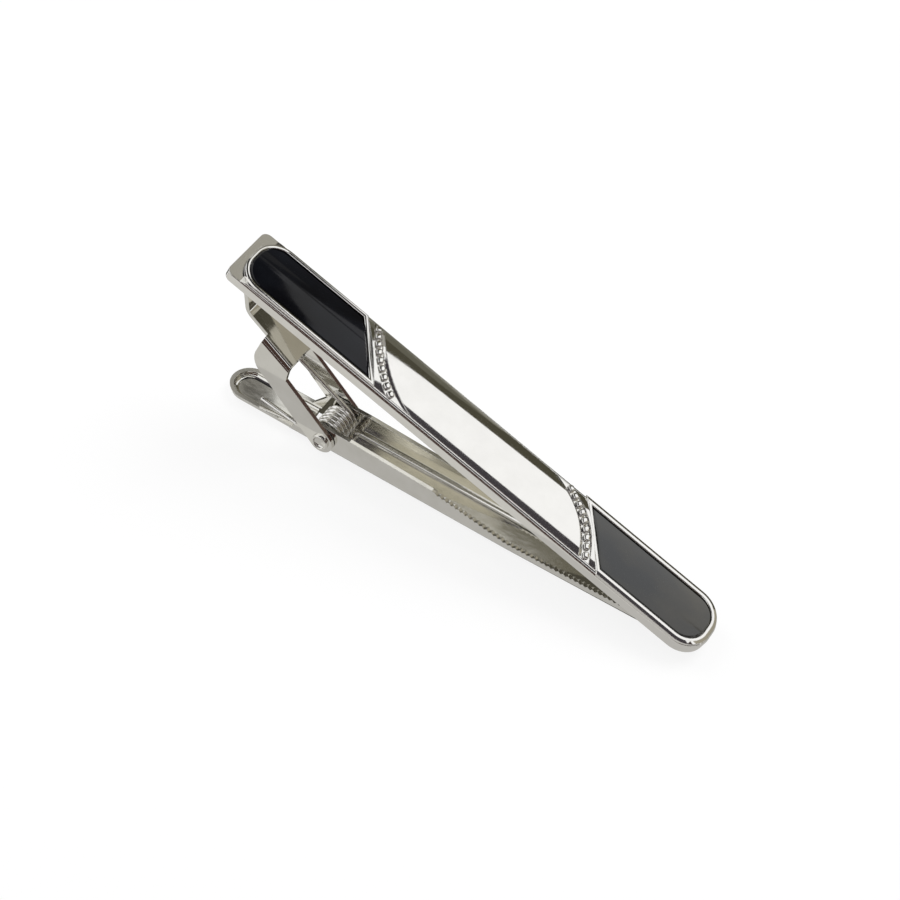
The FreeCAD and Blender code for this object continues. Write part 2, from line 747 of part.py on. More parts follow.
def check_and_write(pieces):
    doc.recompute()
    for obj in doc.Objects:
        if "Invalid" in obj.State or "Error" in obj.State:
            raise RuntimeError(f"{obj.Name} did not recompute: {obj.State}")
    for piece in pieces:
        shape = piece.Shape
        if shape.isNull() or not shape.isValid() or len(shape.Solids) != 1:
            raise RuntimeError(f"{piece.Label} is not one valid solid")
    os.makedirs("parts", exist_ok=True)
    for piece in pieces:
        piece.Shape.exportStep(f"parts/{piece.Label}.step")
        print(piece.Label, round(piece.Shape.Volume, 3), "mm3", piece.Shape.BoundBox)


print("closed angle", round(value(CLOSED_ANGLE), 3))
check_and_write([
    make_front_bar(),
    make_inlay("black_inlay", 1),
    make_inlay("grey_inlay", -1),
    make_hinge_bracket(),
    make_jaw_lever(),
    make_hinge_pin(),
    make_torsion_spring(),
])
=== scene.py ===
import math

import bmesh
import bpy
from mathutils import Matrix, Vector


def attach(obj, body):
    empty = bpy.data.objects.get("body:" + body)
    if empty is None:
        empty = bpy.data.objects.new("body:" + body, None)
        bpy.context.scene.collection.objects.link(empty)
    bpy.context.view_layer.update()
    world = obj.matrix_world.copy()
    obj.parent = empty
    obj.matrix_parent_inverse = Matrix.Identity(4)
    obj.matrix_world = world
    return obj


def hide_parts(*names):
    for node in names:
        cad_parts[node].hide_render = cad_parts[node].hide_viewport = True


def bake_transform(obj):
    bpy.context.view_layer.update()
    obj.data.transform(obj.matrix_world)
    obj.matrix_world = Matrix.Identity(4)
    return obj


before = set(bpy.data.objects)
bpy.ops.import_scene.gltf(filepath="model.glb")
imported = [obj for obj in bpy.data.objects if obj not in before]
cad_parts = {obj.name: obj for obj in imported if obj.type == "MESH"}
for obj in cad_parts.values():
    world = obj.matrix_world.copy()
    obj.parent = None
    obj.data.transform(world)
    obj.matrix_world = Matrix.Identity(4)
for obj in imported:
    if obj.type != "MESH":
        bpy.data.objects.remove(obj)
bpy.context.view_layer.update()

# Places on the clip, in millimetres

MM = 0.001
PIVOT = Vector((-14.2, 0.0, 1.8))
TILT = math.radians(16.999)
BAR_BACK = 11.85
BAR_OVERHANG = 17.4
PATTERN_MIDDLE = 30.19
BAR_TURN = Matrix.Rotation(TILT, 4, "Y")
BOTH_ENDS = (1, -1)


def on_bar(along, across, lift):
    """Place in metres of a point given from the pattern's middle on the bar's back."""
    local = Vector((along + PATTERN_MIDDLE - BAR_OVERHANG, across, lift + BAR_BACK))
    return (BAR_TURN @ local + PIVOT) * MM


def from_hinge(local):
    """Place in metres of a point given from the hinge."""
    return (local + PIVOT) * MM


# Materials

NOISE_LOW = 0.3
NOISE_HIGH = 0.7


def empty_nodes(owner):
    """The nodes and links of a material or world, with its nodes taken out."""
    owner.use_nodes = True
    owner.node_tree.nodes.clear()
    return owner.node_tree.nodes, owner.node_tree.links


def new_material(name):
    """A material with one plain shader, and its nodes, links and shader."""
    material = bpy.data.materials.new(name)
    nodes, links = empty_nodes(material)
    output = nodes.new("ShaderNodeOutputMaterial")
    shader = nodes.new("ShaderNodeBsdfPrincipled")
    links.new(shader.outputs["BSDF"], output.inputs["Surface"])
    return material, nodes, links, shader


def noise(nodes, links, scale, detail, stretch=(1, 1, 1)):
    """Noise in the object's own frame, with features of about 1 / scale metres."""
    coords = nodes.new("ShaderNodeTexCoord")
    mapping = nodes.new("ShaderNodeMapping")
    mapping.inputs["Scale"].default_value = stretch
    texture = nodes.new("ShaderNodeTexNoise")
    texture.inputs["Scale"].default_value = scale
    texture.inputs["Detail"].default_value = detail
    links.new(coords.outputs["Object"], mapping.inputs["Vector"])
    links.new(mapping.outputs["Vector"], texture.inputs["Vector"])
    return texture.outputs["Fac"]


def spread(nodes, links, source, low, high):
    """A number that runs from low to high with the noise."""
    ramp = nodes.new("ShaderNodeMapRange")
    ramp.inputs["From Min"].default_value = NOISE_LOW
    ramp.inputs["From Max"].default_value = NOISE_HIGH
    ramp.inputs["To Min"].default_value = low
    ramp.inputs["To Max"].default_value = high
    links.new(source, ramp.inputs["Value"])
    return ramp.outputs["Result"]


def tint(nodes, links, source, low, high, start=NOISE_LOW, end=NOISE_HIGH):
    """A colour that runs from low to high as the noise runs from start to end."""
    ramp = nodes.new("ShaderNodeValToRGB")
    ramp.color_ramp.elements[0].position = start
    ramp.color_ramp.elements[0].color = (*low, 1)
    ramp.color_ramp.elements[1].position = end
    ramp.color_ramp.elements[1].color = (*high, 1)
    links.new(source, ramp.inputs["Fac"])
    return ramp.outputs["Color"]


def plated(name, low, high, rough_low, rough_high, wave, edge):
    """Bright plating: slight cloudiness, a faint waviness, and softened edges."""
    material, nodes, links, shader = new_material(name)
    shader.inputs["Metallic"].default_value = 1.0
    cloud = noise(nodes, links, scale=420.0, detail=5.0)
    links.new(tint(nodes, links, cloud, low, high), shader.inputs["Base Color"])
    fine = noise(nodes, links, scale=2600.0, detail=3.0, stretch=(0.35, 1, 1))
    links.new(spread(nodes, links, fine, rough_low, rough_high), shader.inputs["Roughness"])
    soft = nodes.new("ShaderNodeBevel")
    soft.samples = 4
    soft.inputs["Radius"].default_value = edge
    bump = nodes.new("ShaderNodeBump")
    bump.inputs["Strength"].default_value = 1.0
    bump.inputs["Distance"].default_value = wave
    links.new(noise(nodes, links, scale=300.0, detail=1.0), bump.inputs["Height"])
    links.new(soft.outputs["Normal"], bump.inputs["Normal"])
    links.new(bump.outputs["Normal"], shader.inputs["Normal"])
    return material


def enamel(name, low, high, rough_low, rough_high, ior):
    """Hard glossy enamel with a soft cloud of colour in it."""
    material, nodes, links, shader = new_material(name)
    cloud = noise(nodes, links, scale=240.0, detail=4.0, stretch=(0.5, 1, 1))
    colour = tint(nodes, links, cloud, low, high, start=0.35, end=0.68)
    links.new(colour, shader.inputs["Base Color"])
    fine = noise(nodes, links, scale=1800.0, detail=3.0)
    links.new(spread(nodes, links, fine, rough_low, rough_high), shader.inputs["Roughness"])
    shader.inputs["IOR"].default_value = ior
    bump = nodes.new("ShaderNodeBump")
    bump.inputs["Distance"].default_value = 0.000004
    links.new(noise(nodes, links, scale=160.0, detail=1.0), bump.inputs["Height"])
    links.new(bump.outputs["Normal"], shader.inputs["Normal"])
    return material


bar_metal = plated(
    "plated_bar", low=(0.87, 0.86, 0.835), high=(0.92, 0.91, 0.885),
    rough_low=0.04, rough_high=0.08, wave=0.0000015, edge=0.00008)
sheet_metal = plated(
    "plated_sheet", low=(0.78, 0.77, 0.73), high=(0.85, 0.84, 0.81),
    rough_low=0.04, rough_high=0.07, wave=0.000002, edge=0.00006)
wire_metal = plated(
    "spring_wire", low=(0.84, 0.83, 0.81), high=(0.9, 0.89, 0.87),
    rough_low=0.04, rough_high=0.08, wave=0.000001, edge=0.00003)
black = enamel(
    "black_enamel", low=(0.003, 0.003, 0.004), high=(0.007, 0.008, 0.011),
    rough_low=0.04, rough_high=0.065, ior=1.38)
grey = enamel(
    "grey_enamel", low=(0.018, 0.020, 0.022), high=(0.040, 0.037, 0.029),
    rough_low=0.048, rough_high=0.078, ior=1.66)

FINISH = {
    "front_bar": bar_metal,
    "black_inlay": black,
    "grey_inlay": grey,
    "hinge_bracket": sheet_metal,
    "jaw_lever": sheet_metal,
}
for name, material in FINISH.items():
    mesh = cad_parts[name].data
    mesh.materials.clear()
    mesh.materials.append(material)


# Meshes made of rings of points


def add_object(name, data):
    """A new object in the scene."""
    item = bpy.data.objects.new(name, data)
    bpy.context.scene.collection.objects.link(item)
    return item


def skin(bm, rings):
    """Faces from each ring to the next."""
    for low, high in zip(rings, rings[1:]):
        for step in range(len(low)):
            following = (step + 1) % len(low)
            bm.faces.new((low[step], low[following], high[following], high[step]))


def flat_start(bm, rings):
    """A face over the first ring."""
    bm.faces.new(list(reversed(rings[0])))


def flat_end(bm, rings):
    """A face over the last ring."""
    bm.faces.new(rings[-1])


def fan(bm, ring, place):
    """Faces from a ring to one point."""
    centre = bm.verts.new(place)
    for step in range(len(ring)):
        bm.faces.new((ring[step], ring[(step + 1) % len(ring)], centre))


def finish_mesh(name, bm, material):
    """A smooth-shaded piece from a finished mesh."""
    bmesh.ops.recalc_face_normals(bm, faces=bm.faces)
    for face in bm.faces:
        face.smooth = True
    mesh = bpy.data.meshes.new(name)
    bm.to_mesh(mesh)
    bm.free()
    mesh.materials.append(material)
    return add_object(name, mesh)


# Crowned tops across the bar, and the rings of the two curved bands

CROWN_HALF = 3.1
BAND_FOOT = 1.38
BAND_RISE = 0.32
PANEL_FOOT = 1.41
PANEL_RISE = 0.57
BAND_CENTRE = (-3.89, 8.3)


def crown_radius(rise):
    return (CROWN_HALF ** 2 + rise ** 2) / (2 * rise)


def crown_level(across, foot, rise):
    """Height over the bar's back of a top that is crowned across the bar."""
    radius = crown_radius(rise)
    return foot + rise - radius + math.sqrt(radius ** 2 - across ** 2)


def band_level(across):
    return crown_level(across, BAND_FOOT, BAND_RISE)


def ring_place(end, ring, angle):
    """Place along and across the bar of a point on a ring at one end's band."""
    along = BAND_CENTRE[0] + ring * math.cos(angle)
    across = BAND_CENTRE[1] + ring * math.sin(angle)
    return end * along, end * across


# Beads in the bands

BEAD_RING = 12.53
BEAD_COUNT = 9
BEAD_FIRST = 207.0
BEAD_LAST = 241.5
BEAD_HALF_LENGTH = 0.38 * MM
BEAD_HALF_WIDTH = 0.33 * MM
BEAD_HEIGHT = 0.34 * MM
BEAD_SQUARENESS = 4
BEAD_AROUND = 24
BEAD_LEVELS = ((-0.25, 1.0), (0.4, 1.0), (0.72, 0.94), (0.9, 0.8), (0.97, 0.6), (0.99, 0.3))


def bead(bm, place, up, along):
    """A closed bead: a rounded square with a domed top, standing on a short foot."""
    side = up.cross(along).normalized()
    rings = []
    for level, width in BEAD_LEVELS:
        ring = []
        for step in range(BEAD_AROUND):
            angle = 2 * math.pi * (step + 0.5) / BEAD_AROUND
            cosine = math.cos(angle)
            sine = math.sin(angle)
            reach = width / (cosine ** BEAD_SQUARENESS + sine ** BEAD_SQUARENESS) ** (1 / BEAD_SQUARENESS)
            out = along * (BEAD_HALF_LENGTH * cosine) + side * (BEAD_HALF_WIDTH * sine)
            ring.append(bm.verts.new(place + up * (level * BEAD_HEIGHT) + out * reach))
        rings.append(ring)
    skin(bm, rings)
    flat_start(bm, rings)
    fan(bm, rings[-1], place + up * BEAD_HEIGHT)


bead_mesh = bmesh.new()
for end in BOTH_ENDS:
    for count in range(BEAD_COUNT):
        angle = math.radians(BEAD_FIRST + (BEAD_LAST - BEAD_FIRST) * count / (BEAD_COUNT - 1))
        along, across = ring_place(end, BEAD_RING, angle)
        slope = math.asin(across / crown_radius(BAND_RISE))
        up = BAR_TURN @ Vector((0, math.sin(slope), math.cos(slope)))
        ring_way = BAR_TURN @ Vector((-math.sin(angle), math.cos(angle), 0))
        way = (ring_way - up * ring_way.dot(up)).normalized()
        bead(bead_mesh, on_bar(along, across, band_level(across)), up, way)
beads = finish_mesh("bead_bands", bead_mesh, bar_metal)
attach(beads, "clip")


# Bevels from the middle panel's curved ends down to the bands' floors

PANEL_RING = 11.8
BEVEL_RING = 12.12
BEVEL_FIRST = 206.3
BEVEL_LAST = 254.5
BEVEL_STEPS = 40
BEVEL_BURIED = 0.04
BEVEL_SUNK = 0.004
BEVEL_SHARP = math.radians(25.0)


def panel_bevel(bm, end):
    """A narrow sloping strip along one curved end of the panel."""
    rings = []
    for step in range(BEVEL_STEPS + 1):
        angle = math.radians(BEVEL_FIRST + (BEVEL_LAST - BEVEL_FIRST) * step / BEVEL_STEPS)
        edge = ring_place(end, PANEL_RING, angle)
        top = crown_level(edge[1], PANEL_FOOT, PANEL_RISE)
        foot_along, foot_across = ring_place(end, BEVEL_RING, angle)
        foot_across = max(-CROWN_HALF, min(CROWN_HALF, foot_across))
        corners = [
            (*edge, top - BEVEL_SUNK),
            (foot_along, foot_across, band_level(foot_across) - BEVEL_SUNK),
            (*edge, band_level(edge[1]) - BEVEL_BURIED),
        ]
        rings.append([bm.verts.new(on_bar(*corner)) for corner in corners])
    skin(bm, rings)
    flat_start(bm, rings)
    flat_end(bm, rings)


bevel_mesh = bmesh.new()
for end in BOTH_ENDS:
    panel_bevel(bevel_mesh, end)
bevels = finish_mesh("panel_bevels", bevel_mesh, bar_metal)
bevels.data.set_sharp_from_angle(angle=BEVEL_SHARP)
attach(bevels, "clip")


# Lips on the collars of the enamel fields

COLLAR_TOP = 1.55
COLLAR_WIDTH = 0.46
LIP_INSET = 0.05
LIP_RISE = 0.035
LIP_BURIED = 0.05
LIP_STEPS = 8
LIP_SHARP = math.radians(15.0)
FACET_START = 0.33
FACET_END = 0.63
FACET_SLOPE = math.radians(20.0)
SIDE_RADIUS = 0.055
SIDE_FOOT = -0.5
FIELD_END = 28.95
FIELD_HALF = 2.8
FIELD_RADIUS = 2.3
FIELD_SLANT_MIDDLE = 14.78
FIELD_SLANT = math.radians(38.7)
FIELD_ARC_STEPS = 16


def collar_outline(end, grow):
    """Points round an enamel field at a distance outside its edge, as (along, across)."""
    half = FIELD_HALF + grow
    far = FIELD_END + grow
    radius = FIELD_RADIUS + grow
    slant_grow = min(grow, COLLAR_WIDTH - LIP_INSET)
    slant = FIELD_SLANT_MIDDLE - slant_grow / math.cos(FIELD_SLANT)
    shift = half * math.tan(FIELD_SLANT)
    points = [(-(slant - shift), -half), (-(slant + shift), half)]
    for start, side in ((90, 1), (180, -1)):
        centre_across = side * (half - radius)
        for step in range(FIELD_ARC_STEPS + 1):
            angle = math.radians(start + 90 * step / FIELD_ARC_STEPS)
            along = radius * math.cos(angle) - (far - radius)
            points.append((along, centre_across + radius * math.sin(angle)))
    return [(end * along, end * across) for along, across in points]


def round_section():
    """A lip rounded from edge to edge, as (distance outside the field, rise)."""
    section = [(LIP_INSET, -LIP_BURIED)]
    for step in range(LIP_STEPS + 1):
        share = step / LIP_STEPS
        grow = LIP_INSET + (COLLAR_WIDTH - 2 * LIP_INSET) * share
        section.append((grow, LIP_RISE * (1 - (2 * share - 1) ** 2)))
    section.append((COLLAR_WIDTH - LIP_INSET, -LIP_BURIED))
    return section


def flat_section():
    """A flat lip with a sloping facet, rounded over to the bar's side."""
    section = [(LIP_INSET, -LIP_BURIED), (LIP_INSET, LIP_RISE), (FACET_START, LIP_RISE)]
    facet_low = LIP_RISE - (FACET_END - FACET_START) * math.tan(FACET_SLOPE)
    centre_grow = FACET_END - SIDE_RADIUS * math.sin(FACET_SLOPE)
    centre_rise = facet_low - SIDE_RADIUS * math.cos(FACET_SLOPE)
    for step in range(LIP_STEPS + 1):
        turned = FACET_SLOPE + (math.pi / 2 - FACET_SLOPE) * step / LIP_STEPS
        grow = centre_grow + SIDE_RADIUS * math.sin(turned)
        section.append((grow, centre_rise + SIDE_RADIUS * math.cos(turned)))
    section.append((centre_grow + SIDE_RADIUS, SIDE_FOOT))
    return section


def collar_lip(bm, end, section):
    """A closed lip round one field, with the given section all the way round."""
    loops = []
    for grow, rise in section:
        outline = collar_outline(end, grow)
        lift = COLLAR_TOP + rise
        loops.append([bm.verts.new(on_bar(along, across, lift)) for along, across in outline])
    skin(bm, loops + loops[:1])


lip_mesh = bmesh.new()
collar_lip(lip_mesh, 1, round_section())
collar_lip(lip_mesh, -1, flat_section())
lips = finish_mesh("collar_lips", lip_mesh, bar_metal)
lips.data.set_sharp_from_angle(angle=LIP_SHARP)
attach(lips, "clip")


# Torsion spring: close turns round the pin, an arm in the thumb pad and an arm under the plate

WIRE_RADIUS = 0.25
WIRE_AROUND = 14
WIRE_END_BEVEL = 0.075
COIL_RADIUS = 1.48
COIL_PITCH = 0.565
COIL_TURNS = 5
COIL_STEPS = 32
ARM_STEPS = 14
THUMB_ARM_ANGLE = math.radians(10.0)
THUMB_ARM_LENGTH = 8.0
PLATE_ARM_Y = -0.2
PLATE_ARM_BEND = 1.2
PLATE_ARM_LENGTH = 2.0
PLATE_BEND_STEPS = 8
PLATE_END_STEPS = 4
PLATE_GAP = 0.12
PLATE_CLEARANCE = WIRE_RADIUS + PLATE_GAP
RAMP = math.radians(62.0)
PLATE_SLOPE = math.radians(17.0)
STRIP_BEND_BACK = 14.0
STRIP_BEND_RADIUS = 1.2
RAMP_LENGTH = 2.67
PLATE_LENGTH = 7.17


def spring_path():
    """Points along the wire's middle from the thumb pad to the plate, from the hinge."""
    corner_x = -STRIP_BEND_BACK - STRIP_BEND_RADIUS * math.sin(RAMP) + RAMP_LENGTH * math.cos(RAMP)
    corner_z = BAR_BACK - STRIP_BEND_RADIUS * (1 + math.cos(RAMP)) - RAMP_LENGTH * math.sin(RAMP)
    tip_x = corner_x + PLATE_LENGTH * math.cos(PLATE_SLOPE) - PLATE_CLEARANCE * math.sin(PLATE_SLOPE)
    tip_z = corner_z - PLATE_LENGTH * math.sin(PLATE_SLOPE) - PLATE_CLEARANCE * math.cos(PLATE_SLOPE)
    under = BAR_TURN @ Vector((tip_x, PLATE_ARM_Y, tip_z))
    slope = PLATE_SLOPE + TILT
    along_plate = Vector((-math.cos(slope), 0, math.sin(slope)))

    first = -math.pi / 2 - THUMB_ARM_ANGLE
    reach = math.hypot(under.x, under.z)
    last = math.atan2(under.z, under.x) - math.acos(COIL_RADIUS / reach) + 2 * math.pi * COIL_TURNS
    middle = (first + last) / 2

    def on_coil(angle):
        across = COIL_PITCH * (angle - middle) / (2 * math.pi)
        return Vector((COIL_RADIUS * math.cos(angle), across, COIL_RADIUS * math.sin(angle)))

    points = []
    thumb_way = Vector((math.cos(THUMB_ARM_ANGLE), 0, -math.sin(THUMB_ARM_ANGLE)))
    for step in range(ARM_STEPS):
        points.append(on_coil(first) - thumb_way * THUMB_ARM_LENGTH * (1 - step / ARM_STEPS))
    all_steps = COIL_STEPS * COIL_TURNS
    for step in range(all_steps + 1):
        points.append(on_coil(first + (last - first) * step / all_steps))
    coil_end = points[-1]
    plate_way = (under - coil_end).normalized()
    run = (under - coil_end).length - PLATE_ARM_BEND
    for step in range(1, ARM_STEPS + 1):
        points.append(coil_end + plate_way * run * step / ARM_STEPS)
    bend_start = under - plate_way * PLATE_ARM_BEND
    bend_end = under + along_plate * PLATE_ARM_BEND
    for step in range(1, PLATE_BEND_STEPS + 1):
        share = step / PLATE_BEND_STEPS
        inner = bend_start.lerp(under, share)
        points.append(inner.lerp(under.lerp(bend_end, share), share))
    for step in range(1, PLATE_END_STEPS + 1):
        points.append(bend_end + along_plate * PLATE_ARM_LENGTH * step / PLATE_END_STEPS)
    return points


def sweep_wire(bm, points):
    """A round closed wire along points, with slightly bevelled ends."""
    before = points[:1] + points[:-1]
    after = points[1:] + points[-1:]
    ways = [(ahead - behind).normalized() for behind, ahead in zip(before, after)]
    normal = ways[0].cross(Vector((0, 1, 0))).normalized()
    stations = []
    for point, way in zip(points, ways):
        normal = (normal - way * normal.dot(way)).normalized()
        stations.append((point, normal, way.cross(normal), WIRE_RADIUS))
    narrow = WIRE_RADIUS - WIRE_END_BEVEL
    point, normal, side, size = stations[0]
    start = [(point, normal, side, narrow), (point + ways[0] * WIRE_END_BEVEL, normal, side, size)]
    point, normal, side, size = stations[-1]
    stop = [(point - ways[-1] * WIRE_END_BEVEL, normal, side, size), (point, normal, side, narrow)]
    rings = []
    for point, normal, side, size in start + stations[1:-1] + stop:
        ring = []
        for step in range(WIRE_AROUND):
            angle = 2 * math.pi * step / WIRE_AROUND
            out = normal * math.cos(angle) + side * math.sin(angle)
            ring.append(bm.verts.new(from_hinge(point + out * size)))
        rings.append(ring)
    skin(bm, rings)
    flat_start(bm, rings)
    flat_end(bm, rings)


spring_mesh = bmesh.new()
sweep_wire(spring_mesh, spring_path())
spring = finish_mesh("close_wound_spring", spring_mesh, wire_metal)
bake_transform(spring)
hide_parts("torsion_spring")


# Hinge pin: a shaft with a rolled rivet head at each end, cupped in the middle

PIN_RADIUS = 0.6
PIN_AROUND = 40
LEG_FACE = 2.8
HEAD_RADIUS = 0.95
HEAD_HEIGHT = 0.3
HEAD_TOP = LEG_FACE + HEAD_HEIGHT
ROLL_RADIUS = 0.13
ROLL_STEPS = 12
ROLL_FOOT = HEAD_TOP - ROLL_RADIUS
CUP_RADIUS = HEAD_RADIUS - 2 * ROLL_RADIUS
CUP_DEPTH = 0.24
CUP_STEPS = 6
SAME_PLACE = 1e-7


def pin_profile():
    """Radius and distance from the middle, from the cup's bottom at one end out to the shaft."""
    profile = []
    for step in range(1, CUP_STEPS + 1):
        turned = math.pi / 2 * step / CUP_STEPS
        profile.append((CUP_RADIUS * math.sin(turned), ROLL_FOOT - CUP_DEPTH * math.cos(turned)))
    roll_middle = CUP_RADIUS + ROLL_RADIUS
    for step in range(1, ROLL_STEPS + 1):
        turned = math.pi * step / ROLL_STEPS
        radius = roll_middle - ROLL_RADIUS * math.cos(turned)
        profile.append((radius, ROLL_FOOT + ROLL_RADIUS * math.sin(turned)))
    profile.append((HEAD_RADIUS, LEG_FACE))
    profile.append((PIN_RADIUS, LEG_FACE))
    return profile


def turned_pin(bm):
    """The whole pin, turned about the hinge line."""
    half = pin_profile()
    near_half = [(radius, -reach) for radius, reach in half]
    far_half = list(reversed(half))
    rings = []
    for radius, across in near_half + far_half:
        ring = []
        for step in range(PIN_AROUND):
            angle = 2 * math.pi * step / PIN_AROUND
            local = Vector((radius * math.cos(angle), across, radius * math.sin(angle)))
            ring.append(bm.verts.new(from_hinge(local)))
        rings.append(ring)
    skin(bm, rings)
    cup_bottom = ROLL_FOOT - CUP_DEPTH
    fan(bm, rings[0], from_hinge(Vector((0, -cup_bottom, 0))))
    fan(bm, rings[-1], from_hinge(Vector((0, cup_bottom, 0))))


pin_mesh = bmesh.new()
turned_pin(pin_mesh)
pin = finish_mesh("rolled_pin", pin_mesh, sheet_metal)
for edge in pin.data.edges:
    reaches = [abs(pin.data.vertices[index].co.y) for index in edge.vertices]
    if all(abs(reach - LEG_FACE * MM) < SAME_PLACE for reach in reaches):
        edge.use_edge_sharp = True
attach(pin, "clip")
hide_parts("hinge_pin")


# Floor, and the cards that the metal reflects, which glow only in reflections and paint reflected light
# and shade onto it

FLOOR = -0.02
FLOOR_HALF = 3000.0
FLOOR_GREY = 0.9
FLOOR_GLOW = 0.85
LOW_CARD_LEVEL = -0.01
PATCH = -0.005
CEILING = 320
FAR = 420
NEARER = FAR - 2


def oblong(left, right, low, high):
    return [(left, low), (right, low), (right, high), (left, high)]


def level(height, outline):
    """Corners of a level card, from an outline of (x, y)."""
    return [(x, y, height) for x, y in outline]


def upright(distance, outline):
    """Corners of an upright card beyond the clip, from an outline of (x, z)."""
    return [(x, distance, z) for x, z in outline]


def flat_card(name, corners, material):
    """A flat sheet of the stage."""
    mesh = bpy.data.meshes.new(name)
    mesh.from_pydata([Vector(corner) * MM for corner in corners], [], [tuple(range(len(corners)))])
    mesh.materials.append(material)
    card = add_object(name, mesh)
    return card


def card_material(name, colour):
    """An even glow of one colour."""
    material = bpy.data.materials.new(name)
    nodes, links = empty_nodes(material)
    output = nodes.new("ShaderNodeOutputMaterial")
    glow = nodes.new("ShaderNodeEmission")
    glow.inputs["Color"].default_value = (*colour, 1)
    links.new(glow.outputs["Emission"], output.inputs["Surface"])
    return material


def reflected_card(name, colour, corners):
    """A card that shows only in reflections: a painted reflection on the metal."""
    card = flat_card(name, corners, card_material(name + "_colour", colour))
    card.visible_camera = False
    card.visible_diffuse = False
    card.visible_shadow = False


def larger(nodes, links, first, second):
    """The larger of two numbers."""
    either = nodes.new("ShaderNodeMath")
    either.operation = "MAXIMUM"
    links.new(first, either.inputs[0])
    links.new(second, either.inputs[1])
    return either.outputs[0]


def seen_directly(nodes, links):
    """1 for rays from the camera, off gloss or through glass, and 0 for the rest."""
    path = nodes.new("ShaderNodeLightPath")
    seen = larger(nodes, links, path.outputs["Is Camera Ray"], path.outputs["Is Glossy Ray"])
    return larger(nodes, links, seen, path.outputs["Is Transmission Ray"])


def floor_material():
    """A pale matt floor that looks nearly white and keeps a soft shadow."""
    material = bpy.data.materials.new("pale_floor")
    nodes, links = empty_nodes(material)
    output = nodes.new("ShaderNodeOutputMaterial")
    matt = nodes.new("ShaderNodeBsdfDiffuse")
    matt.inputs["Color"].default_value = (FLOOR_GREY, FLOOR_GREY, FLOOR_GREY, 1)
    white = nodes.new("ShaderNodeEmission")
    white.inputs["Color"].default_value = (1, 1, 1, 1)
    share = nodes.new("ShaderNodeMath")
    share.operation = "MULTIPLY"
    share.inputs[1].default_value = FLOOR_GLOW
    mix = nodes.new("ShaderNodeMixShader")
    links.new(seen_directly(nodes, links), share.inputs[0])
    links.new(share.outputs[0], mix.inputs["Fac"])
    links.new(matt.outputs["BSDF"], mix.inputs[1])
    links.new(white.outputs["Emission"], mix.inputs[2])
    links.new(mix.outputs["Shader"], output.inputs["Surface"])
    return material
